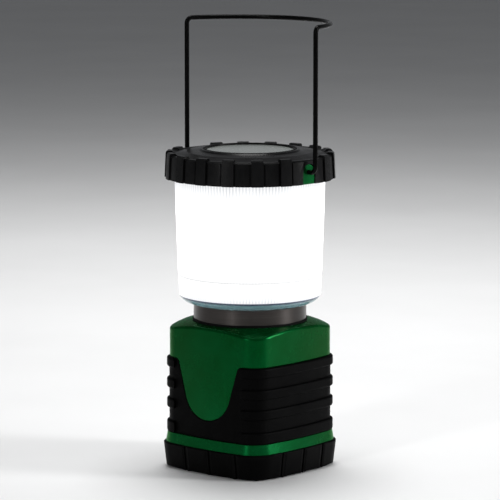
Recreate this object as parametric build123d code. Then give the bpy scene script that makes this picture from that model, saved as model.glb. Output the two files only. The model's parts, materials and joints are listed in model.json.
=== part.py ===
from build123d import *
import os
from math import asin, atan2, cos, degrees, radians, sin, sqrt

# Camping lantern on three D cells. Millimetres, +Z up, origin on the floor under the centre.
# -Y is the face with the bare green panel, +Y the switch face, and the bail turns about the X axis of the head.

# Body plan: a rounded square with bulged sides
BODY_MID = 37.6          # centre to the middle of a side
BODY_CORNER = 12.0       # vertical corner radius
BODY_BULGE = 190.0       # radius of each side in plan
WALL = 2.4
REACH = 60.0             # farther than any face of the body from the centre

# Heights of the stack
COVER_TOP = 14.5
STRIP_BOTTOM = 14.8
STRIP_TOP = 20.4
GRIP_TOP = 63.8
ROOF = 84.6
CEILING = 78.0           # inside of the roof
ROOF_FLAT_R = 33.6       # the roof is level out to here and falls away beyond
ROOF_CROWN = (41.0, 82.55)
ROOF_EDGE = (52.0, 77.0)
ROOF_CREASE = 1.6        # rounding between the roof and the sides
GASKET_TOP = 85.8
COLLAR_TOP = 94.6
BOWL_BOTTOM = 94.9
BOWL_TOP = 99.6
GLOBE_TOP = 169.0
CAP_BOTTOM = 166.3
CAP_FLAT_TOP = 180.0
CAP_RIB_TOP = 181.3
PIVOT_Z = 173.0
BAIL_TOP = 254.0

# Grip
GRIP_DEPTH = 1.2         # recess in the housing
GRIP_PROUD = 0.3
RIB_PROUD = 1.7
RIB_BANDS = ((20.4, 27.3), (34.3, 40.1), (45.9, 51.7), (58.0, 63.8))
RIB_GAP_HALF = 24.5      # the ribs stop this far from the middle of the two panel faces
RIB_RIM = 1.2
RIB_END_ROUND = 2.3      # rounding of a rib's end, seen from the front
RIB_ROOT = 0.2           # how far the ribs are sunk in the grip
GRIP_EDGE = 0.45         # rounding of the grip's upper edge
PANEL_EDGE = 0.55        # rounding of the housing along the grip
PANEL_HALF = 22.5        # half width of the bare panel at the grip's top edge
PANEL_SLOPE = 0.298      # sideways run of the panel's edge per unit of height
SURFACE_PLAY = 0.2       # how far off a surface an edge may lie and still count as on it
PANEL_ROUND = 17.0
PANEL_SHOULDER = 3.0     # rounding where the bare panel meets the grip's top edge

# Base cover and lower ring
STRIP_GROW = (2.3, 1.4)  # how far the lower ring stands out, bottom and top
COVER_GROW = (2.0, 3.7)  # the same for the cover
COVER_SLOT = 1.3
COVER_SLOTS_X = (-17.5, 0.0, 17.5)
COVER_SLOTS_Y = (-14.2, 4.2, 23.0)
BORE_R = 37.1
LUG_HALF_ANGLE = 12.0
UNLOCK_ANGLE = 20.0

COVER_FLOOR = 2.4
COVER_BORE_R = 35.0
COVER_FOOT_CHAMFER = 0.9
COVER_TOP_CHAMFER = 0.5
SLOT_DEPTH = 1.3
FLUTE_R = 5.0
FLUTE_DEPTH = 0.5
ARCH_RISE = 1.1          # the foot of the cover rises this far between its slots
ARCH_DEPTH = 2.5
CORNER_ANGLE = 45.0
SEAL_R = (38.4, 37.4)
SEAL_DEPTH = 1.2
CARRIER_TOP = 12.0
CARRIER_R = 33.6
LUG_TOP_Z = 18.9         # top of the three bayonet lugs
LUG_HEAD_Z = 17.5
LUG_R = (34.9, 36.8, 37.6)
LUG_CHANNEL = 0.8        # the lugs' channel in the lower ring
ENTRY_PLAY = 1.5         # degrees each side of a lug in its entry

# Fasteners
CORNER_SCREW_R = 1.3
CORNER_SCREW_HEAD = (2.4, 1.6)   # radius and height
CORNER_SCREW_CIRCLE = 41.0
CORNER_BOSS = (3.2, 34.0)        # radius and top
CORNER_SCREW_TOP = 29.0
DECK_SCREW_R = 1.5
PEDESTAL_SCREW_CIRCLE = 20.0
CAP_SCREW_CIRCLE = 33.0
CAP_SCREW_HEAD_R = 2.8
HEAD_SPACE = 17.0                # height of the screw heads' seats in the lower ring

# Battery cells
CELL_R = 16.6
CELL_Z = (14.9, 74.9)
CELL_NUB = 1.5
CELL_GAP = 0.3
CELL_SHIFT = 0.9         # the three cells stand this far towards +Y, clear of the panel face

CELL_EDGE = 1.2
NUB_R = 4.7
CRADLE_BOTTOM = 34.5
CRADLE_PLAY = 0.3        # gap between the cradle or the contact board and the housing
CELL_PLAY = 0.2

BOARD_Z = (76.8, 77.9)
BOARD_R = 33.5
WIRE_HOLE_R = 6.0
CONTACT_R = 5.5
CONTACT_STEPS = ((7.0, 0.0, 0.6), (2.0, 0.6, 1.9), (4.5, 1.9, 2.6))

# Light source
LED_BOARD_Z = 95.4
LED_BOARD_TOP = 97.0
LED_BOARD_R = 24.0
LED_SIZE = (3.5, 1.4)    # width and height
LED_CIRCLE = 7.0
LEAD_X = 6.8             # the two leads stand this far each side of the axis
LEAD_R = 0.8
PEDESTAL_R = (26.0, 22.0)
PEDESTAL_STEP = 88.0
FINS = 24
FIN_ROOT = 17.5
FIN_GAP_HALF = 0.8
FIN_Z = (88.5, 93.5)

# Button in the +Y face
BUTTON_R = 6.5
BUTTON_Z = 50.0
BUTTON_GAP = 0.25
BOARD_Y = (25.2, 26.8)   # switch board, faces along Y
BOARD_POSTS = [(x, BUTTON_Z + z) for x in (-6.0, 6.0) for z in (-9.8, 9.8)]

BEZEL_R = BUTTON_R + 1.8
BEZEL_Y = (35.2, 38.3)
BUTTON_Y = (33.9, 38.6)
BUTTON_RIM = (8.0, 34.9)         # radius and front of the rim that keeps the button in
STEM_R = 2.0
STEM_Y = 30.8
SWITCH_HALF = 3.0
SWITCH_Y = 28.6
PLUNGER = (1.6, 29.2)            # radius and tip of the switch's plunger
POST_R = 1.3
POST_Y = 35.6
SWITCH_BOARD_HALF = (8.0, 11.5)

# Collar, globe and head
COLLAR_R = 32.2
COLLAR_WALL = 1.2
COLLAR_CHAMFER = 0.35
GASKET_PROUD = 0.6
GASKET_BORE_R = 29.5
NECK_R = 30.6
NECK_BORE_R = 29.0
NECK_BOTTOM = 88.4
GLOBE_R = (40.5, 43.0)   # outer radius at the bottom and at the cap
GLOBE_WALL = 2.0
HEAD_TURN = -4.0         # degrees: the head locks a little short of square
CAP_R = (48.6, 47.9)     # rib radius at the bottom and at the top
CAP_FLAT_DROP = 0.8      # the flats lie this far inside the ribs
CAP_GROOVE = 0.7
CAP_RIBS = 18
CAP_RIB_ANGLE = 8.0
CAP_GROOVE_ANGLE = 1.4
CAP_GROOVE_TOP = 179.0
CAP_BEVEL = 0.9
CAP_PANEL_X = 46.9
CAP_BORE_R = 45.4
CAP_CROWN = ((36.0, 181.3), (29.0, 181.9), (28.0, 182.7))
DISC_R = 25.0
DISC_TOP = 181.9
DISC_EDGE = 0.4
DISC_FLANGE_R = 27.0
DISC_PLAY = 0.1
DECK_TOP = 176.0
DECK_BOTTOM = 174.0
FRAME_R = 45.2
FRAME_STEP_R = 43.4
SKIRT_BOTTOM = 168.0
SEAL_TOP = 170.0         # top of the globe's seal
FLANGE_TOP = 178.0
LUG_WIDTH = 9.0
LUG_TOP = 177.4
LUG_FACE_X = 46.3
CONE_R = 38.5
CONE_TIP = (2.0, 150.0)
CONE_THICK = 2.0

# Bail
WIRE_R = 1.35
LEG_X = 51.4
BOW_DEPTH = 42.0
BEND_R = 3.2
PIN_END_X = 41.0
PIN_GAP = 0.08


def plan(grow=0.0):
    """Rounded square with bulged sides, grown outwards all round."""
    bulge = BODY_BULGE + grow
    reach = BODY_BULGE - BODY_MID
    square = Pos(reach, 0) * Circle(bulge)
    for x, y in ((-reach, 0), (0, reach), (0, -reach)):
        square = square & (Pos(x, y) * Circle(bulge))
    return fillet(square.vertices(), BODY_CORNER + grow)


def prism(grow, low, high):
    return Pos(0, 0, low) * extrude(plan(grow), high - low)


def flared(grow_low, grow_high, low, high):
    return loft([Pos(0, 0, low) * plan(grow_low), Pos(0, 0, high) * plan(grow_high)])


def disc(radius, low, high, x=0.0, y=0.0):
    return Pos(x, y, (low + high) / 2) * Cylinder(radius, high - low)


def ring(outer, inner, low, high, x=0.0, y=0.0):
    return disc(outer, low, high, x, y) - disc(inner, low - 1, high + 1, x, y)


def block(x0, x1, y0, y1, z0, z1):
    return Pos((x0 + x1) / 2, (y0 + y1) / 2, (z0 + z1) / 2) * Box(x1 - x0, y1 - y0, z1 - z0)


def across_y(radius, y0, y1, x=0.0, z=BUTTON_Z):
    return Pos(x, (y0 + y1) / 2, z) * Rot(90, 0, 0) * Cylinder(radius, y1 - y0)


def spun(points, angle=360.0, start=0.0):
    """Solid of revolution from (radius, height) points."""
    face = Plane.XZ * make_face(Polyline(*points, close=True))
    return Rot(0, 0, start) * revolve(face, Axis.Z, angle)


def on_circle(count, radius, start=0.0):
    steps = [radians(start + 360.0 * i / count) for i in range(count)]
    return [(radius * cos(a), radius * sin(a)) for a in steps]


CAP_SCREWS = on_circle(3, CAP_SCREW_CIRCLE, 90)
PEDESTAL_SCREWS = on_circle(3, PEDESTAL_SCREW_CIRCLE, 30)


def on_head(piece):
    return Rot(0, 0, HEAD_TURN) * piece


# ---------------------------------------------------------------- housing

CELL_SPOTS = [
    (x, y + CELL_SHIFT)
    for x, y in on_circle(3, (2 * CELL_R + CELL_GAP) / sqrt(3), -90)
]
CORNER_SCREWS = on_circle(4, CORNER_SCREW_CIRCLE, 45)


def panel_cutter():
    """Prism through both panel faces, U-shaped, narrowing downwards."""
    low = GRIP_TOP - PANEL_HALF / PANEL_SLOPE
    top_half = PANEL_HALF + 10 * PANEL_SLOPE
    outline = Polyline((0, low), (top_half, GRIP_TOP + 10), (-top_half, GRIP_TOP + 10), close=True)
    face = make_face(outline)
    tip = face.vertices().sort_by(Axis.Y)[0]
    face = fillet(tip, PANEL_ROUND)
    return extrude(Plane.XZ * face, 60, both=True)


def on_side(point, grow):
    """Whether a point lies on one of the two panel faces, grown by a distance."""
    face = BODY_MID + grow - point.X**2 / (2 * BODY_BULGE)
    return abs(abs(point.Y) - face) < SURFACE_PLAY


def panel_rim(piece, grow):
    """Edges of a piece along the sides of the two bare panels, on the face grown by a distance."""
    low = GRIP_TOP - PANEL_HALF / PANEL_SLOPE
    return [
        e
        for e in piece.edges()
        if low < e.center().Z < GRIP_TOP - SURFACE_PLAY
        and abs(e.center().X) < PANEL_HALF + PANEL_SHOULDER
        and all(on_side(e @ t, grow) for t in (0.0, 0.5, 1.0))
    ]


def grip_sleeve():
    """The grip without its ribs: also the recess that it fills."""
    sleeve = prism(GRIP_PROUD, STRIP_TOP, GRIP_TOP) - prism(-GRIP_DEPTH, STRIP_TOP, GRIP_TOP)
    sleeve = sleeve - panel_cutter()
    tips = [
        e
        for e in sleeve.edges()
        if abs(e.center().Z - GRIP_TOP) < 0.01
        and abs(abs(e.center().X) - PANEL_HALF) < 0.8
        and e.length < 3
    ]
    return fillet(tips, PANEL_SHOULDER)


def dome():
    """Shallow crowned roof that trims the top of the square body."""
    flat_end = (ROOF_FLAT_R, ROOF)
    edge_foot = (ROOF_EDGE[0], 0)
    outline = [
        ThreePointArc(flat_end, ROOF_CROWN, ROOF_EDGE),
        Line(ROOF_EDGE, edge_foot),
        Line(edge_foot, (0, 0)),
        Line((0, 0), (0, ROOF)),
        Line((0, ROOF), flat_end),
    ]
    return revolve(Plane.XZ * make_face(outline), Axis.Z)


def housing_shell(sleeve):
    outer = prism(0, STRIP_TOP, ROOF + 1) & dome()
    crease = [
        e
        for e in outer.edges()
        if e.center().Z > ROOF_EDGE[1] - 1 and Vector(e.center().X, e.center().Y).length > ROOF_FLAT_R + 1
    ]
    outer = fillet(crease, ROOF_CREASE)
    shell = outer - prism(-WALL, STRIP_TOP - 1, CEILING) - sleeve
    boss_r, boss_top = CORNER_BOSS
    for x, y in CORNER_SCREWS:
        boss = disc(boss_r, STRIP_TOP, boss_top, x, y) & prism(-0.5 - GRIP_DEPTH, STRIP_TOP, boss_top + 1)
        shell = shell + boss - disc(CORNER_SCREW_R, STRIP_TOP - 1, CORNER_SCREW_TOP + 1, x, y)
    for x, z in BOARD_POSTS:
        shell = shell + across_y(POST_R, BOARD_Y[1], POST_Y, x, z)
    shell = shell - across_y(BEZEL_R, BEZEL_Y[0] - 3.2, BEZEL_Y[1] + 1.7)
    shell = shell - disc(LEAD_X + 1.7, CEILING - 2, ROOF + 1)
    for x, y in PEDESTAL_SCREWS:
        shell = shell - disc(DECK_SCREW_R, CEILING - 2, ROOF + 1, x, y)
    return fillet(panel_rim(shell, 0.0), PANEL_EDGE)


def rib_window(low, high):
    """What one band of ribs keeps: everything beyond the gap, with rounded ends."""
    wide = 2 * REACH
    middle = RIB_GAP_HALF + wide / 2
    outline = RectangleRounded(wide, high - low, RIB_END_ROUND)
    slab = extrude(Plane.XZ * Pos(middle, (low + high) / 2) * outline, REACH, both=True)
    return slab + slab.mirror(Plane.YZ)


def rubber_grip(sleeve):
    grip = fillet(panel_rim(sleeve, GRIP_PROUD), GRIP_EDGE)
    for low, high in RIB_BANDS:
        band = prism(RIB_PROUD, low, high)
        rims = band.edges().group_by(Axis.Z)[0] + band.edges().group_by(Axis.Z)[-1]
        band = fillet(rims, RIB_RIM) - prism(-RIB_ROOT, low - 1, high + 1)
        grip = grip + (band & rib_window(low, high))
    return grip


def lower_ring():
    body = flared(STRIP_GROW[0], STRIP_GROW[1], STRIP_BOTTOM, STRIP_TOP)
    body = body - disc(BORE_R, STRIP_BOTTOM - 1, STRIP_TOP + 1)
    channel_r = BORE_R + LUG_CHANNEL
    body = body - disc(channel_r, LUG_HEAD_Z - 0.3, LUG_TOP_Z + 0.7)
    low, high = STRIP_BOTTOM - 0.8, LUG_HEAD_Z + 0.5
    width = 2 * (LUG_HALF_ANGLE + ENTRY_PLAY)
    for i in range(3):
        start = 120 * i + 90 + UNLOCK_ANGLE - width / 2
        entry = [(BORE_R - 1, low), (channel_r, low), (channel_r, high), (BORE_R - 1, high)]
        body = body - spun(entry, width, start)
    for x, y in CORNER_SCREWS:
        body = body - disc(CORNER_SCREW_R, low, STRIP_TOP + 1, x, y)
        body = body - disc(CORNER_SCREW_HEAD[0] + 0.2, low, HEAD_SPACE, x, y)
    return body


def ring_screws():
    head_r, head = CORNER_SCREW_HEAD
    return Compound(
        [
            disc(head_r, HEAD_SPACE - head, HEAD_SPACE, x, y)
            + disc(CORNER_SCREW_R, HEAD_SPACE, CORNER_SCREW_TOP, x, y)
            for x, y in CORNER_SCREWS
        ]
    )


def collar_gasket():
    return ring(COLLAR_R + GASKET_PROUD, GASKET_BORE_R, ROOF, GASKET_TOP)


def collar_ring():
    body = ring(COLLAR_R, COLLAR_R - COLLAR_WALL, GASKET_TOP, COLLAR_TOP)
    return chamfer(body.edges().group_by(Axis.Z)[-1], COLLAR_CHAMFER)


# ---------------------------------------------------------------- power

def battery_cell(spot):
    low, high = CELL_Z
    can = disc(CELL_R, low, high, *spot)
    can = fillet(can.edges().group_by(Axis.Z)[0] + can.edges().group_by(Axis.Z)[-1], CELL_EDGE)
    return can + disc(NUB_R, high, high + CELL_NUB, *spot)


def battery_cradle():
    """Guide that fills the space round the cells, closed above by a plate over their shoulders."""
    low, high = CRADLE_BOTTOM, CELL_Z[1] + CELL_NUB
    body = prism(-WALL - CRADLE_PLAY, low, high)
    for x, y in CELL_SPOTS:
        body = body - disc(CELL_R + CELL_PLAY, low - 1, CELL_Z[1], x, y)
        body = body - disc(CONTACT_R + CRADLE_PLAY, low, high + 1, x, y)
    switch_half = SWITCH_BOARD_HALF[0] + 1.5
    return body - block(-switch_half, switch_half, 12, 40, low - 1, CELL_Z[1])


def top_contact_board():
    low, high = BOARD_Z
    board = disc(BOARD_R, low, high) & prism(-WALL - CRADLE_PLAY, low - 1, high + 1)
    return board - disc(WIRE_HOLE_R, low - 1, high + 1)


def top_contacts():
    low = CELL_Z[1] + CELL_NUB
    return Compound([disc(CONTACT_R, low, BOARD_Z[0], x, y) for x, y in CELL_SPOTS])


def lead_wires():
    return Compound([disc(LEAD_R, BOARD_Z[1], LED_BOARD_Z, x, 0) for x in (-LEAD_X, LEAD_X)])


def contact_carrier():
    """Moulded deck in the base cover that carries the spring contacts."""
    ceiling = CARRIER_TOP - WALL
    shell = disc(CARRIER_R, COVER_FLOOR, CARRIER_TOP) - disc(CARRIER_R - 2, COVER_FLOOR - 1, ceiling)
    return shell + disc(6, COVER_FLOOR, ceiling)


def cover_contacts():
    """Stepped spring contacts, one under each cell."""
    pieces = []
    for x, y in CELL_SPOTS:
        foot, stem, tip = [
            disc(radius, CARRIER_TOP + low, CARRIER_TOP + high, x, y)
            for radius, low, high in CONTACT_STEPS
        ]
        pieces.append(foot + stem + tip)
    return Compound(pieces)


def grip_slots(body):
    """Narrow slots in shallow flutes that part the cover's side into panels."""
    low, high = COVER_GROW
    lean = degrees(atan2(high - low, COVER_TOP))
    for face in range(4):
        spots = COVER_SLOTS_Y if face % 2 else COVER_SLOTS_X
        for spot in spots:
            side_x = BODY_MID + (low + high) / 2 - spot**2 / (2 * BODY_BULGE)
            slot = Pos(side_x + 2 - SLOT_DEPTH, 0, 0) * Box(4, COVER_SLOT, 40)
            flute = Pos(side_x + FLUTE_R - FLUTE_DEPTH, 0, 0) * Cylinder(FLUTE_R, 40)
            tool = Pos(0, spot, COVER_TOP / 2) * (slot + flute)
            hinge = Pos(side_x, 0, COVER_TOP / 2)
            body = body - Rot(0, 0, 90 * face) * hinge * Rot(0, lean, 0) * hinge.inverse() * tool
    return body


def foot_arches():
    """Shallow arches under the cover's rim, from slot to slot and from slot to corner."""
    side = BODY_MID + COVER_GROW[0]
    tools = []
    for face in range(4):
        spots = COVER_SLOTS_Y if face % 2 else COVER_SLOTS_X
        feet = [degrees(atan2(spot, side)) for spot in spots]
        feet = [-CORNER_ANGLE] + feet + [CORNER_ANGLE]
        for first, last in zip(feet, feet[1:]):
            half = side * sin(radians(last - first) / 2) / cos(radians(first + last) / 2)
            radius = (half**2 + ARCH_RISE**2) / (2 * ARCH_RISE)
            arch = Pos(REACH / 2, 0, ARCH_RISE - radius) * Rot(0, 90, 0) * Cylinder(radius, REACH)
            tools.append(Rot(0, 0, 90 * face + (first + last) / 2) * arch)
    return tools


def base_cover():
    body = flared(COVER_GROW[0], COVER_GROW[1], 0, COVER_TOP)
    body = chamfer(body.edges().group_by(Axis.Z)[0], COVER_FOOT_CHAMFER)
    body = chamfer(body.edges().group_by(Axis.Z)[-1], COVER_TOP_CHAMFER)
    core = prism(COVER_GROW[0] - ARCH_DEPTH, 0, 2 * ARCH_RISE)
    for arch in foot_arches():
        body = body - (arch - core)
    body = grip_slots(body)
    body = body - disc(COVER_BORE_R, COVER_FLOOR, COVER_TOP + 1)
    body = body - ring(*SEAL_R, COVER_TOP - SEAL_DEPTH, COVER_TOP + 1)
    arc = 2 * LUG_HALF_ANGLE
    root, outer, tip = LUG_R
    for i in range(3):
        start = 120 * i + 90 - LUG_HALF_ANGLE
        tongue = [(root, 8), (outer, 8), (outer, LUG_TOP_Z), (root, LUG_TOP_Z)]
        hook = [(outer - 0.1, LUG_HEAD_Z), (tip, LUG_HEAD_Z), (tip, LUG_TOP_Z), (outer - 0.1, LUG_TOP_Z)]
        body = body + spun(tongue, arc, start) + spun(hook, arc, start)
    return body


def cover_seal():
    return ring(*SEAL_R, COVER_TOP - SEAL_DEPTH, COVER_TOP)


# ---------------------------------------------------------------- switch

def power_button():
    back, front = BUTTON_Y
    cap = across_y(BUTTON_R, back, front)
    cap = fillet(cap.edges().sort_by(Axis.Y)[-1], 1.4)
    return cap + across_y(BUTTON_RIM[0], back, BUTTON_RIM[1]) + across_y(STEM_R, STEM_Y, back)


def button_bezel():
    back, front = BEZEL_Y
    body = across_y(BEZEL_R, back, front) - across_y(BUTTON_R + BUTTON_GAP, back - 1, front + 1)
    return fillet(body.edges().sort_by(Axis.Y)[-1], 0.5)


def switch_board():
    half_x, half_z = SWITCH_BOARD_HALF
    return block(-half_x, half_x, *BOARD_Y, BUTTON_Z - half_z, BUTTON_Z + half_z)


def tact_switch():
    half = SWITCH_HALF
    body = block(-half, half, BOARD_Y[1], SWITCH_Y, BUTTON_Z - half, BUTTON_Z + half)
    return body + across_y(PLUNGER[0], SWITCH_Y, PLUNGER[1])


# ---------------------------------------------------------------- light source

def led_pedestal():
    foot_r, body_r = PEDESTAL_R
    low, high = ROOF - 1, LED_BOARD_Z + 1
    body = disc(foot_r, ROOF, PEDESTAL_STEP) + disc(body_r, PEDESTAL_STEP, LED_BOARD_Z)
    body = body - disc(4.5, low, high)
    for i in range(FINS):
        gap = block(FIN_ROOT, body_r + 1, -FIN_GAP_HALF, FIN_GAP_HALF, *FIN_Z)
        body = body - Rot(0, 0, 360 / FINS * i) * gap
    for x in (-LEAD_X, LEAD_X):
        body = body - disc(LEAD_R + 0.1, low, high, x, 0)
    for x, y in PEDESTAL_SCREWS:
        body = body - disc(DECK_SCREW_R, low, PEDESTAL_STEP + 2, x, y)
    return body


def pedestal_screws():
    return Compound(
        [disc(DECK_SCREW_R, CEILING + 1, PEDESTAL_STEP, x, y) for x, y in PEDESTAL_SCREWS]
    )


def led_board():
    return disc(LED_BOARD_R, LED_BOARD_Z, LED_BOARD_TOP)


def led_chips():
    width, height = LED_SIZE
    middle = LED_BOARD_TOP + height / 2
    return Compound([Pos(x, y, middle) * Box(width, width, height) for x, y in on_circle(4, LED_CIRCLE, 45)])


def reflector_dish():
    foot = LED_BOARD_TOP
    return spun([(13, foot), (15, foot), (28.5, 104.0), (28.5, 105.2), (26.8, 105.2), (13, foot + 1.4)])


# ---------------------------------------------------------------- head

def globe():
    r0, r1 = GLOBE_R
    w = GLOBE_WALL
    return spun([(r0, BOWL_TOP), (r1, GLOBE_TOP), (r1 - w, GLOBE_TOP), (r0 - w, BOWL_TOP)])


def globe_bowl():
    """Clear bowl that closes the globe below and carries the neck in the collar."""
    r = GLOBE_R[0]
    outer = ThreePointArc((r, BOWL_TOP), (r - 2.3, 96.6), (33.0, BOWL_BOTTOM))
    inner = ThreePointArc((NECK_BORE_R, 97.0), (35.2, 97.9), (r - GLOBE_WALL, BOWL_TOP))
    outline = [
        outer,
        Line((33.0, BOWL_BOTTOM), (NECK_R, BOWL_BOTTOM)),
        Line((NECK_R, BOWL_BOTTOM), (NECK_R, NECK_BOTTOM)),
        Line((NECK_R, NECK_BOTTOM), (NECK_BORE_R, NECK_BOTTOM)),
        Line((NECK_BORE_R, NECK_BOTTOM), (NECK_BORE_R, 97.0)),
        inner,
        Line((r - GLOBE_WALL, BOWL_TOP), (r, BOWL_TOP)),
    ]
    return revolve(Plane.XZ * make_face(outline), Axis.Z)


def bail_holes():
    hole = Pos(50, 0, PIVOT_Z) * Rot(0, 90, 0) * Cylinder(WIRE_R + PIN_GAP, 20)
    return hole + Rot(0, 0, 180) * hole


def lug_shape(half_width, top, x0, x1):
    """Upright tongue with a round top at each end of the bail's axis."""
    centre = top - half_width
    foot = block(x0, x1, -half_width, half_width, CAP_BOTTOM, centre)
    head = Pos((x0 + x1) / 2, 0, centre) * Rot(0, 90, 0) * Cylinder(half_width, x1 - x0)
    return foot + head


def cap_frame():
    """Green moulding under the cap: a deck, a skirt round the globe and the two bail lugs."""
    body = disc(FRAME_R, DECK_BOTTOM, DECK_TOP) + ring(FRAME_R, FRAME_R - 2, SKIRT_BOTTOM, DECK_BOTTOM)
    body = body + ring(FRAME_STEP_R, 37.0, SEAL_TOP, DECK_BOTTOM)
    for turn in (0, 180):
        body = body + Rot(0, 0, turn) * lug_shape(LUG_WIDTH / 2, LUG_TOP, FRAME_STEP_R, LUG_FACE_X)
    for x, y in CAP_SCREWS:
        body = body - disc(DECK_SCREW_R, SEAL_TOP, DECK_TOP + 1, x, y)
    return body - bail_holes()


def cap_sector(r_low, r_high, top, angle, start):
    inner = GLOBE_R[1]
    points = [(inner, CAP_BOTTOM), (r_low, CAP_BOTTOM), (r_high, top - CAP_BEVEL), (r_high - 0.8, top)]
    return spun(points + [(r_high - 3.4, top), (inner, top - 1.5)], angle, start)


def top_cap():
    low, high = CAP_R
    flat_low, flat_high = low - CAP_FLAT_DROP, high - CAP_FLAT_DROP
    outer = spun(
        [
            (0, CAP_BOTTOM),
            (flat_low, CAP_BOTTOM),
            (flat_high, CAP_FLAT_TOP - CAP_BEVEL),
            (flat_high - CAP_BEVEL, CAP_FLAT_TOP),
            (high - 3.6, CAP_FLAT_TOP),
            (high - 4.6, CAP_FLAT_TOP - 0.3),
            *CAP_CROWN,
            (0, CAP_CROWN[-1][1]),
        ]
    )
    top = CAP_CROWN[-1][1] + 1
    step = 360.0 / CAP_RIBS
    for i in range(CAP_RIBS):
        if i % (CAP_RIBS // 2) == 0:
            continue
        width = CAP_RIB_ANGLE + 2 * CAP_GROOVE_ANGLE
        floor = flat_low - CAP_GROOVE
        corners = [(floor, CAP_BOTTOM), (REACH, CAP_BOTTOM)]
        corners = corners + [(REACH, CAP_GROOVE_TOP), (floor - 0.7, CAP_GROOVE_TOP)]
        groove = spun(corners, width, step * i - width / 2)
        rib = cap_sector(low, high, CAP_RIB_TOP, CAP_RIB_ANGLE, step * i - CAP_RIB_ANGLE / 2)
        outer = outer - groove + rib
    for turn in (0, 180):
        outer = outer - Rot(0, 0, turn) * block(CAP_PANEL_X, REACH, -12, 12, CAP_BOTTOM, top)
        outer = outer - Rot(0, 0, turn) * lug_shape(LUG_WIDTH / 2 + 0.3, LUG_TOP + 0.4, GLOBE_R[1], REACH)
    outer = outer - disc(CAP_BORE_R, CAP_BOTTOM - 1, DECK_TOP) - disc(DISC_R + DISC_PLAY, SEAL_TOP, top)
    outer = outer - disc(DISC_FLANGE_R + 2 * DISC_PLAY, SEAL_TOP, FLANGE_TOP)
    for x, y in CAP_SCREWS:
        outer = outer - disc(DECK_SCREW_R, SEAL_TOP, FLANGE_TOP + 0.5, x, y)
    return outer


def top_disc():
    body = disc(DISC_R, FLANGE_TOP, DISC_TOP)
    body = fillet(body.edges().group_by(Axis.Z)[-1], DISC_EDGE)
    return body + disc(DISC_FLANGE_R, DECK_TOP, FLANGE_TOP)


def globe_seal():
    return ring(GLOBE_R[1], GLOBE_R[1] - GLOBE_WALL, GLOBE_TOP, SEAL_TOP)


def top_reflector():
    """Bright cone that throws the light sideways."""
    tip_r, tip = CONE_TIP
    rim = [(CONE_R, SEAL_TOP - 1), (CONE_R, SEAL_TOP), (CONE_R - 2.5, SEAL_TOP)]
    return spun([(0, tip), (tip_r, tip), *rim, (0, tip + CONE_THICK)])


def cap_screws():
    return Compound(
        [
            disc(DECK_SCREW_R, DECK_BOTTOM, FLANGE_TOP + 0.5, x, y)
            + disc(CAP_SCREW_HEAD_R, DECK_BOTTOM - 1.6, DECK_BOTTOM, x, y)
            for x, y in CAP_SCREWS
        ]
    )


# ---------------------------------------------------------------- bail

def bend(corner, before, after):
    """Quarter bend of the wire at a corner, between two directions at right angles."""
    start = corner - before * BEND_R
    end = corner + after * BEND_R
    middle = start + after * BEND_R + (before - after) * (BEND_R / sqrt(2))
    return ThreePointArc(start, middle, end)


def bail_handle():
    """One wire: pin, hook bend, leg, top bend, bow towards +Y, and the same back down."""
    bow_r = (LEG_X**2 + BOW_DEPTH**2 - BEND_R**2) / (2 * BOW_DEPTH)
    back = bow_r - BOW_DEPTH
    reach = sqrt(LEG_X**2 + back**2)
    heading = 90 + degrees(atan2(back, LEG_X)) + degrees(asin(BEND_R / reach))
    inward = Vector(cos(radians(heading)), sin(radians(heading)), 0)
    right, up = Vector(1, 0, 0), Vector(0, 0, 1)
    foot = bend(Vector(LEG_X, 0, PIVOT_Z), right, up)
    top = bend(Vector(LEG_X, 0, BAIL_TOP), up, inward)
    half = [Line(Vector(PIN_END_X, 0, PIVOT_Z), foot @ 0), foot, Line(foot @ 1, top @ 0), top]
    far = top @ 1
    bow = ThreePointArc(far, (0, BOW_DEPTH, BAIL_TOP), (-far.X, far.Y, far.Z))
    path = Wire(half + [bow] + [edge.mirror(Plane.YZ) for edge in half])
    section = Plane(origin=path @ 0, z_dir=right) * Circle(WIRE_R)
    return sweep(section, path)


# ---------------------------------------------------------------- files

def save(name, piece):
    piece.label = name
    export_step(piece, os.path.join("parts", name + ".step"))


def main():
    os.makedirs("parts", exist_ok=True)
    sleeve = grip_sleeve()
    save("housing_shell", housing_shell(sleeve))
    save("rubber_grip", rubber_grip(sleeve))
    for number, spot in enumerate(CELL_SPOTS, 1):
        save(f"battery_cell_{number}", battery_cell(spot))
    for make in (
        lower_ring,
        ring_screws,
        collar_gasket,
        collar_ring,
        battery_cradle,
        top_contact_board,
        top_contacts,
        lead_wires,
        contact_carrier,
        cover_contacts,
        base_cover,
        cover_seal,
        power_button,
        button_bezel,
        switch_board,
        tact_switch,
        led_pedestal,
        pedestal_screws,
        led_board,
        led_chips,
        reflector_dish,
    ):
        save(make.__name__, make())
    for make in (
        globe,
        globe_bowl,
        globe_seal,
        cap_frame,
        top_cap,
        top_disc,
        top_reflector,
        cap_screws,
        bail_handle,
    ):
        save(make.__name__, on_head(make()))


main()
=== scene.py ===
import json
import math

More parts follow.
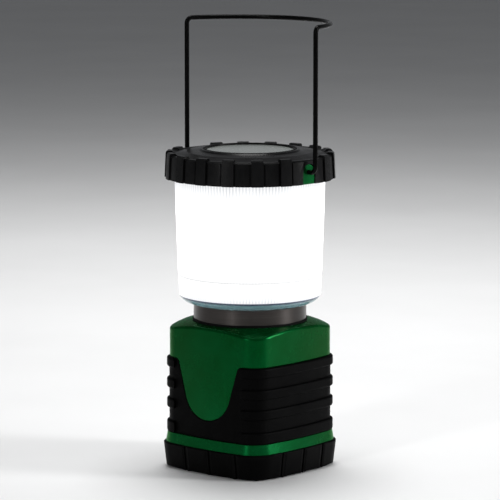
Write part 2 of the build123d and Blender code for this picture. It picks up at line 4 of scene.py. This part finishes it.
import bmesh
import bpy
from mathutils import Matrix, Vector


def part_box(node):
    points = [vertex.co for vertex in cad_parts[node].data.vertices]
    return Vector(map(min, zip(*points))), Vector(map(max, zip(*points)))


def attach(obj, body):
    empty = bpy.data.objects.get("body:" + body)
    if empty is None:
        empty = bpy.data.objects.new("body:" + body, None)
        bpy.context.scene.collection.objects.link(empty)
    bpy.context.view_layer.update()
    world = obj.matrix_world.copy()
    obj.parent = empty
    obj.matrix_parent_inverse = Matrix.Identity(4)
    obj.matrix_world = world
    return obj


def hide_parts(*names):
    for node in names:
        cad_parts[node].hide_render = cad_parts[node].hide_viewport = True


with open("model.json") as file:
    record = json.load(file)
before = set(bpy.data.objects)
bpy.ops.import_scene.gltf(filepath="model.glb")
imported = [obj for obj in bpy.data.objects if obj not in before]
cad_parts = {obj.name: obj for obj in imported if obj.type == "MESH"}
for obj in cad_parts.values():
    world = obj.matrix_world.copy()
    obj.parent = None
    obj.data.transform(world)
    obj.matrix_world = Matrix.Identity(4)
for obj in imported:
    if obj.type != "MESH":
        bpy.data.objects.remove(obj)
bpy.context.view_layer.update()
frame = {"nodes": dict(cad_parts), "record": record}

MM = 0.001
NODES = frame["nodes"]
SLOTS = {s["node"]: s["material_slot"] for s in frame["record"]["subparts"]}

# Heights and radii read off the frame
GLOBE_LOW, GLOBE_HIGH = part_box("globe")
BOWL_LOW, BOWL_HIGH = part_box("globe_bowl")
CAP_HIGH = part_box("top_cap")[1]

# The lit globe
GLOBE_RIBS = 144
GLOBE_WALL = 2.0 * MM
STEPS_PER_RIB = 4
GLOBE_LEVELS = 24
PRISM_DEPTH = 0.12 * MM
PRISM_FADE = 2.0 * MM        # the prisms die out over this height at both ends
GLOW = 2.6
GLOW_ENDS = 0.86             # near the globe's two ends
RIB_SHADE = 0.30
SEAM_SHADE = 1.42
RIBS_SHOW_TOP = (21.0 * MM, 3.0 * MM)     # below the globe's top: first sign, then full
RIBS_SHOW_FOOT = (1.0 * MM, 13.0 * MM)    # above its foot: strongest, then gone
RIBS_FOOT_LEVEL = 0.85
SEAM_UP = 11.7 * MM
SEAM_HALF = 0.8 * MM

# The bowl's dark line and tint reach this far down from its rim
BOWL_BANDS = 4.5 * MM

# The bead round the disc in the cap
BEAD_R = 26.0 * MM
BEAD_THICK = 0.75 * MM
BEAD_FLATNESS = 0.35
BEAD_TURNS = 96
BEAD_SIDES = 10

# Studio
CAMERA_AZIMUTH = 41.0
CAMERA_REACH = 1.85
CAMERA_HEIGHT = 0.397
AIM_HEIGHT = 0.1243
FRAME_WIDTH = 0.285
SENSOR_WIDTH = 36
VIEW_DEPTH = 50
FLOOR_HALF = 6.0
LIGHT_AIM = (0, 0, 0.1)
FLOOR_BOX_BACK = 0.7
WORLD_COLOUR = (0.75, 0.77, 0.8, 1)
WORLD_HORIZON = 0.40
WORLD_TOP = 0.14
WORLD_FADE = 0.5             # the sine of the height in the sky where the fade ends


# ---------------------------------------------------------------- material helpers

class Nodes:
    """Short names for making and linking a material's nodes."""

    def __init__(self, name):
        self.mat = bpy.data.materials.new(name)
        self.mat.use_nodes = True
        self.tree = self.mat.node_tree
        self.tree.nodes.clear()
        self.out = self.tree.nodes.new("ShaderNodeOutputMaterial")
        self.shader = self.tree.nodes.new("ShaderNodeBsdfPrincipled")
        self.link(self.shader, 0, self.out, "Surface")
        self.place = self.tree.nodes.new("ShaderNodeTexCoord")

    def link(self, a, out, b, into):
        self.tree.links.new(a.outputs[out], b.inputs[into])

    def set(self, **values):
        for key, value in values.items():
            self.shader.inputs[key.replace("_", " ")].default_value = value
        return self

    def split(self):
        """The object's own x, y and z."""
        node = self.tree.nodes.new("ShaderNodeSeparateXYZ")
        self.link(self.place, "Object", node, "Vector")
        return node

    def noise(self, scale, detail=4.0, rough=0.55, stretch=(1, 1, 1)):
        """Noise in the object's own coordinates. scale is in lumps per metre."""
        mapping = self.tree.nodes.new("ShaderNodeMapping")
        mapping.inputs["Scale"].default_value = stretch
        self.link(self.place, "Object", mapping, "Vector")
        node = self.tree.nodes.new("ShaderNodeTexNoise")
        node.inputs["Scale"].default_value = scale
        node.inputs["Detail"].default_value = detail
        node.inputs["Roughness"].default_value = rough
        self.link(mapping, "Vector", node, "Vector")
        return node

    def ramp(self, source, stops, out="Fac"):
        """Colour ramp from (position, colour) stops."""
        node = self.tree.nodes.new("ShaderNodeValToRGB")
        elements = node.color_ramp.elements
        for i, (position, colour) in enumerate(stops):
            element = elements[i] if i < 2 else elements.new(position)
            element.position = position
            element.color = (*colour, 1)
        self.link(source, out, node, "Fac")
        return node

    def span(self, source, low, high, out="Fac", from_low=0.0, from_high=1.0):
        """Maps the values from_low..from_high to low..high."""
        node = self.tree.nodes.new("ShaderNodeMapRange")
        node.inputs["From Min"].default_value = from_low
        node.inputs["From Max"].default_value = from_high
        node.inputs["To Min"].default_value = low
        node.inputs["To Max"].default_value = high
        self.link(source, out, node, "Value")
        return node

    def mix(self, fac, a, b):
        """Mixes two colours by a (node, output) pair. Each colour is plain or such a pair."""
        node = self.tree.nodes.new("ShaderNodeMix")
        node.data_type = "RGBA"
        for socket, value in ((0, fac), (6, a), (7, b)):
            if isinstance(value[0], float):
                node.inputs[socket].default_value = (*value, 1)
            else:
                self.tree.links.new(value[0].outputs[value[1]], node.inputs[socket])
        return node

    def math(self, operation, a, b=0.0):
        """One step of arithmetic on numbers or (node, output) pairs."""
        node = self.tree.nodes.new("ShaderNodeMath")
        node.operation = operation
        for socket, value in ((0, a), (1, b)):
            if isinstance(value, tuple):
                self.tree.links.new(value[0].outputs[value[1]], node.inputs[socket])
            else:
                node.inputs[socket].default_value = value
        return node

    def rough(self, source, low, high, **limits):
        """Lets a noise vary the roughness from low to high."""
        self.link(self.span(source, low, high, **limits), 0, self.shader, "Roughness")

    def bump(self, source, strength, distance, out="Fac"):
        node = self.tree.nodes.new("ShaderNodeBump")
        node.inputs["Strength"].default_value = strength
        node.inputs["Distance"].default_value = distance
        self.link(source, out, node, "Height")
        self.link(node, "Normal", self.shader, "Normal")


# ---------------------------------------------------------------- materials

def moulded(name, dark, light, rough, grain=0.15, grain_scale=2600, coat=0.0):
    """Moulded plastic or rubber: mottled colour, uneven sheen, fine grain, and sharp edges lightened in
    patches as wear and a painted edge highlight.
    """
    n = Nodes(name)
    mottle = n.ramp(n.noise(45, 6, 0.6), ((0.3, dark), (0.75, light)))
    # Sharp edges are lightened in patches: partly wear, partly a painted edge highlight.
    edge = n.tree.nodes.new("ShaderNodeNewGeometry")
    edge_wear_and_highlight = n.span(edge, 0.0, 0.5, "Pointiness", 0.52, 0.62)
    edge_scuff_and_highlight = n.math("MULTIPLY", (edge_wear_and_highlight, "Result"), (n.noise(160, 5, 0.7), "Fac"))
    worn_and_highlight_colour = tuple(min(1.0, 1.8 * c + 0.006) for c in light)
    colour = n.mix((edge_scuff_and_highlight, 0), (mottle, "Color"), worn_and_highlight_colour)
    n.link(colour, 2, n.shader, "Base Color")
    n.rough(n.noise(70, 5, 0.65), rough[0], rough[1], from_low=0.3, from_high=0.7)
    n.bump(n.noise(grain_scale, 3, 0.5), grain, 0.08 * MM)
    if coat:
        n.set(Coat_Weight=coat, Coat_Roughness=0.08)
    return n


def green_plastic():
    """Deep green plastic with a pearly shine, which stays green at the edges."""
    dark, light = (0.0, 0.046, 0.007), (0.0, 0.072, 0.016)
    n = moulded("green_plastic", dark, light, (0.22, 0.31), grain=0.03, grain_scale=1400, coat=0.02)
    edge_tint = (0.03, 0.80, 0.26, 1)
    return n.set(Metallic=0.5, Specular_IOR_Level=0.18, Specular_Tint=edge_tint).mat


def black_rubber(name, rough, level=0.0011, grain=0.35, gloss=0.03, patchy=1.35):
    """Black rubber. patchy is how much lighter than its level the lightest patches are."""
    dark = (level * 0.75, level * 0.75, level * 0.8)
    light = (level * patchy, level * patchy, level * patchy * 1.04)
    return moulded(name, dark, light, rough, grain).set(Specular_IOR_Level=gloss).mat


def gunmetal():
    """Dark anodised metal, brushed round the collar."""
    n = Nodes("gunmetal")
    brushed = n.tree.nodes.new("ShaderNodeTangent")
    brushed.direction_type = "RADIAL"
    brushed.axis = "Z"
    n.link(brushed, 0, n.shader, "Tangent")
    streaks = n.noise(30, 6, 0.7, (1, 1, 90))
    tone = n.ramp(streaks, ((0.3, (0.047, 0.042, 0.040)), (0.7, (0.066, 0.060, 0.057))))
    n.link(tone, 0, n.shader, "Base Color")
    n.rough(streaks, 0.26, 0.37)
    n.bump(streaks, 0.12, 0.05 * MM)
    return n.set(Metallic=1.0, Anisotropic=0.45, Anisotropic_Rotation=0.25).mat


def metal(name, low, high, rough, scale=200):
    """Bare or coated metal with a faint mottle."""
    n = Nodes(name)
    tone = n.ramp(n.noise(scale, 5, 0.6), ((0.3, low), (0.7, high)))
    n.link(tone, 0, n.shader, "Base Color")
    n.rough(n.noise(scale * 2, 5, 0.6), rough[0], rough[1])
    n.bump(n.noise(scale * 6, 3, 0.5), 0.1, 0.05 * MM)
    return n.set(Metallic=1.0).mat


def black_wire():
    """Black coated steel wire, a little chipped, with a painted highlight on its lightened edges."""
    dark, light = (0.001, 0.001, 0.001), (0.003, 0.003, 0.003)
    n = moulded("black_wire", dark, light, (0.18, 0.30), grain=0.2, grain_scale=3000)
    return n.set(Specular_IOR_Level=0.04).mat


def grey_disc():
    """Grey glossy plastic."""
    dark, light = (0.145, 0.156, 0.149), (0.170, 0.182, 0.174)
    n = moulded("grey_disc", dark, light, (0.20, 0.28), grain=0.02, grain_scale=900, coat=0.10)
    return n.mat


def lit_globe():
    """Lit prismatic plastic. The ribs show near the top and the bottom, where the light is lower."""
    n = Nodes("globe_diffuser")
    split = n.split()
    angle = n.math("ARCTAN2", (split, "Y"), (split, "X"))
    ribs = n.math("SINE", (n.math("MULTIPLY", (angle, 0), GLOBE_RIBS), 0))

    top, foot = GLOBE_HIGH.z, GLOBE_LOW.z
    high = n.span(split, 0.0, 1.0, "Z", top - RIBS_SHOW_TOP[0], top - RIBS_SHOW_TOP[1])
    low = n.span(split, RIBS_FOOT_LEVEL, 0.0, "Z", foot + RIBS_SHOW_FOOT[0], foot + RIBS_SHOW_FOOT[1])
    near = n.math("MAXIMUM", (high, "Result"), (low, "Result"))
    rise = ((0.0, (0, 0, 0)), (0.35, (0.75, 0.75, 0.75)), (1.0, (1, 1, 1)))
    ends = n.ramp(near, rise, "Value")

    groove = n.span(ribs, 0.0, 1.0, 0, -1.0, 1.0)
    depth = n.math("MULTIPLY", (groove, 0), (ends, 0))
    uneven = n.span(n.noise(55, 3, 0.5), 0.2, 1.2, from_low=0.3, from_high=0.7)
    patch = n.math("MULTIPLY", (depth, 0), (uneven, 0))
    rib_shade = n.math("MULTIPLY", (patch, 0), RIB_SHADE)

    seam = n.math("COMPARE", (split, "Z"), foot + SEAM_UP)
    seam.inputs[2].default_value = SEAM_HALF
    seam_shade = n.math("MULTIPLY", (seam, 0), SEAM_SHADE)

    level = n.span(ends, GLOW, GLOW_ENDS, 0)
    shade = n.math("ADD", (rib_shade, 0), (seam_shade, 0))
    glow = n.math("SUBTRACT", (level, 0), (shade, 0))
    n.link(glow, 0, n.shader, "Emission Strength")
    tint = n.mix((depth, 0), (1.0, 1.0, 1.0), (0.92, 0.94, 0.97))
    n.link(tint, 2, n.shader, "Emission Color")
    n.rough(n.noise(300, 3, 0.5), 0.25, 0.4)
    n.bump(n.noise(800, 3, 0.5), 0.1, 0.05 * MM)
    return n.set(Base_Color=(0.15, 0.155, 0.16, 1)).mat


def clear_bowl():
    """Clear moulding with a teal tint and a dark line under its rim."""
    n = Nodes("clear_plastic")
    drop = n.span(n.split(), 1.0, 0.0, "Z", BOWL_HIGH.z - BOWL_BANDS, BOWL_HIGH.z)
    bands = (
        (0.0, (0.04, 0.03, 0.12)),
        (0.20, (0.03, 0.04, 0.12)),
        (0.27, (0.34, 0.56, 0.60)),
        (1.0, (0.50, 0.70, 0.74)),
    )
    tone = n.ramp(drop, bands, "Result")
    haze = n.span(n.noise(90, 4, 0.5), 0.0, 0.25)
    cloudy = n.mix((haze, 0), (tone, "Color"), (0.30, 0.50, 0.55))
    n.link(cloudy, 2, n.shader, "Base Color")
    n.rough(n.noise(120, 4, 0.5), 0.04, 0.12)
    n.bump(n.noise(250, 3, 0.5), 0.1, 0.1 * MM)
    return n.set(Transmission_Weight=0.65, IOR=1.49).mat


def circuit_board(name, low, high):
    """Board lacquer with thin tracks between its cells."""
    n = Nodes(name)
    cells = n.tree.nodes.new("ShaderNodeTexVoronoi")
    cells.feature = "DISTANCE_TO_EDGE"
    cells.inputs["Scale"].default_value = 350
    n.link(n.place, "Object", cells, "Vector")
    tone = n.ramp(cells, ((0.03, high), (0.08, low)), "Distance")
    n.link(tone, 0, n.shader, "Base Color")
    n.rough(n.noise(200), 0.3, 0.45)
    n.bump(tone, 0.2, 0.05 * MM, "Color")
    return n.mat


def floor_paint():
    n = Nodes("floor")
    tone = n.ramp(n.noise(6, 3, 0.5), ((0.3, (0.70, 0.70, 0.70)), (0.7, (0.74, 0.74, 0.74))))
    n.link(tone, 0, n.shader, "Base Color")
    return n.set(Roughness=0.6).mat


def make_materials():
    """One material for each of the record's slots."""
    return {
        "green_plastic": green_plastic(),
        "black_rubber": black_rubber("black_rubber", (0.42, 0.62)),
        "cap_rubber": black_rubber("cap_rubber", (0.24, 0.36), 0.0014, 0.25, 0.08, 6.0),
        "black_plastic": black_rubber("black_plastic", (0.35, 0.5), 0.004, 0.3, 0.12),
        "seal_rubber": black_rubber("seal_rubber", (0.45, 0.6), 0.003),
        "gunmetal": gunmetal(),
        "black_wire": black_wire(),
        "globe_diffuser": lit_globe(),
        "clear_plastic": clear_bowl(),
        "grey_disc": grey_disc(),
        "white_plastic": moulded("white_plastic", (0.75, 0.75, 0.73), (0.85, 0.85, 0.84), (0.2, 0.3)).mat,
        "mirror_coat": metal("mirror_coat", (0.75, 0.75, 0.76), (0.82, 0.82, 0.82), (0.05, 0.12)),
        "heat_sink": metal("heat_sink", (0.55, 0.55, 0.56), (0.66, 0.66, 0.67), (0.3, 0.45)),
        "board": circuit_board("board", (0.02, 0.16, 0.06), (0.10, 0.30, 0.14)),
        "white_board": circuit_board("white_board", (0.8, 0.8, 0.8), (0.6, 0.6, 0.58)),
        "led_yellow": moulded("led_yellow", (0.8, 0.6, 0.1), (0.95, 0.8, 0.25), (0.3, 0.4)).mat,
        "cell_jacket": metal("cell_jacket", (0.05, 0.05, 0.06), (0.09, 0.09, 0.1), (0.3, 0.4), 80),
        "spring_metal": metal("spring_metal", (0.55, 0.54, 0.5), (0.68, 0.67, 0.62), (0.2, 0.35)),
        "screw_steel": metal("screw_steel", (0.4, 0.4, 0.42), (0.55, 0.55, 0.56), (0.25, 0.4)),
        "wire_jacket": moulded("wire_jacket", (0.3, 0.01, 0.01), (0.42, 0.02, 0.02), (0.4, 0.5)).mat,
    }


def dress(materials):
    """Gives every CAD node its slot's material."""
    for name, obj in NODES.items():
        obj.data.materials.clear()
        obj.data.materials.append(materials[SLOTS[name]])


# ---------------------------------------------------------------- geometry

def mesh_object(name, bm, material, smooth=True):
    mesh = bpy.data.meshes.new(name)
    bm.normal_update()
    bm.to_mesh(mesh)
    bm.free()
    for polygon in mesh.polygons:
        polygon.use_smooth = smooth
    obj = bpy.data.objects.new(name, mesh)
    obj.data.materials.append(material)
    bpy.context.scene.collection.objects.link(obj)
    return obj


def ring_of(bm, count, z, radius_at):
    """A level ring of vertices. radius_at(i) is the radius at step i."""
    ring = []
    for i in range(count):
        a = 2 * math.pi * i / count
        r = radius_at(i)
        ring.append(bm.verts.new((r * math.cos(a), r * math.sin(a), z)))
    return ring


def skin(bm, rings):
    """Quads between each ring of vertices and the next, and from the last ring back to the first."""
    for low, high in zip(rings, rings[1:] + rings[:1]):
        count = len(low)
        for i in range(count):
            j = (i + 1) % count
            bm.faces.new((low[i], low[j], high[j], high[i]))
    bmesh.ops.recalc_face_normals(bm, faces=bm.faces)


def ribbed_globe(materials):
    """The diffuser with its fine vertical prisms, as a closed wall."""
    low, high = GLOBE_LOW.z, GLOBE_HIGH.z
    r_high = GLOBE_HIGH.x
    r_low = BOWL_HIGH.x
    steps = STEPS_PER_RIB * GLOBE_RIBS
    bm = bmesh.new()

    def outer(t):
        z = low + (high - low) * t
        fade = max(0.0, min(1.0, (z - low) / PRISM_FADE, (high - z) / PRISM_FADE))
        radius = r_low + (r_high - r_low) * t

        def radius_at(i):
            wave = 0.5 - 0.5 * math.cos(2 * math.pi * i / STEPS_PER_RIB)
            return radius - PRISM_DEPTH * wave * fade

        return ring_of(bm, steps, z, radius_at)

    def inner(t):
        radius = r_low + (r_high - r_low) * t - GLOBE_WALL
        return ring_of(bm, steps, low + (high - low) * t, lambda i: radius)

    levels = [k / GLOBE_LEVELS for k in range(GLOBE_LEVELS + 1)]
    skin(bm, [outer(t) for t in levels] + [inner(1 - t) for t in levels])
    obj = mesh_object("ribbed_globe", bm, materials["globe_diffuser"])
    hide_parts("globe")
    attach(obj, "head")


def disc_bead(materials):
    """Black bead that frames the grey disc in the cap."""
    bm = bmesh.new()
    rings = []
    for k in range(BEAD_SIDES):
        b = 2 * math.pi * k / BEAD_SIDES
        r = BEAD_R + BEAD_THICK * math.cos(b)
        z = CAP_HIGH.z + BEAD_FLATNESS * BEAD_THICK * math.sin(b)
        rings.append(ring_of(bm, BEAD_TURNS, z, lambda i: r))
    skin(bm, rings)
    obj = mesh_object("disc_bead", bm, materials["seal_rubber"])
    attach(obj, "head")


# ---------------------------------------------------------------- studio

def floor():
    """Pale flat floor."""
    bm = bmesh.new()
    corners = [(-1, -1), (1, -1), (1, 1), (-1, 1)]
    bm.faces.new([bm.verts.new((x * FLOOR_HALF, y * FLOOR_HALF, 0)) for x, y in corners])
    mesh_object("floor", bm, floor_paint(), smooth=False)


def seen(right, back, up):
    """A place so far to the camera's right, behind the lantern and above the floor."""
    a = math.radians(CAMERA_AZIMUTH)
    rightward = Vector((math.cos(a), math.sin(a), 0))
    backward = Vector((-math.sin(a), math.cos(a), 0))
    return rightward * right + backward * back + Vector((0, 0, 1)) * up


def point_at(obj, place, target):
    obj.location = place
    obj.rotation_euler = (Vector(target) - place).to_track_quat("-Z", "Y").to_euler()
    bpy.context.scene.collection.objects.link(obj)


def area_light(name, place, target, size, power):
    data = bpy.data.lights.new(name, "AREA")
    data.shape = "RECTANGLE"
    data.size, data.size_y = size
    data.energy = power
    obj = bpy.data.objects.new(name, data)
    point_at(obj, place, target)
    return obj


def camera():
    place = seen(0, -CAMERA_REACH, CAMERA_HEIGHT)
    aim = Vector((0, 0, AIM_HEIGHT))
    data = bpy.data.cameras.new("camera")
    data.sensor_width = SENSOR_WIDTH
    data.lens = SENSOR_WIDTH * (aim - place).length / FRAME_WIDTH
    data.clip_end = VIEW_DEPTH
    obj = bpy.data.objects.new("camera", data)
    point_at(obj, place, aim)
    bpy.context.scene.camera = obj


def surroundings():
    """Soft grey surroundings, brighter at the horizon."""
    world = bpy.data.worlds.new("studio")
    world.use_nodes = True
    nodes, links = world.node_tree.nodes, world.node_tree.links
    background = nodes["Background"]
    background.inputs["Color"].default_value = WORLD_COLOUR
    place = nodes.new("ShaderNodeTexCoord")
    split = nodes.new("ShaderNodeSeparateXYZ")
    fade = nodes.new("ShaderNodeMapRange")
    fade.inputs["From Max"].default_value = WORLD_FADE
    fade.inputs["To Min"].default_value = WORLD_HORIZON
    fade.inputs["To Max"].default_value = WORLD_TOP
    links.new(place.outputs["Generated"], split.inputs["Vector"])
    links.new(split.outputs["Z"], fade.inputs["Value"])
    links.new(fade.outputs["Result"], background.inputs["Strength"])
    bpy.context.scene.world = world


def lights():
    """Three soft boxes, and one that only lights the floor behind the lantern."""
    area_light("right_box", seen(1.25, -0.26, 0.58), LIGHT_AIM, (0.26, 0.9), 12.5)
    area_light("left_box", seen(-0.78, -1.04, 0.6), LIGHT_AIM, (0.09, 0.9), 4.8)
    area_light("top_box", seen(0, 0.25, 1.25), LIGHT_AIM, (0.55, 0.55), 13)
    under = seen(0, FLOOR_BOX_BACK, 0)
    floor_box = area_light("floor_box", seen(0, FLOOR_BOX_BACK, 0.7), under, (0.9, 0.6), 3.0)
    floor_box.visible_glossy = False
    bpy.context.scene.view_settings.view_transform = "Standard"


def main():
    materials = make_materials()
    dress(materials)
    ribbed_globe(materials)
    disc_bead(materials)
    floor()
    camera()
    surroundings()
    lights()


main()
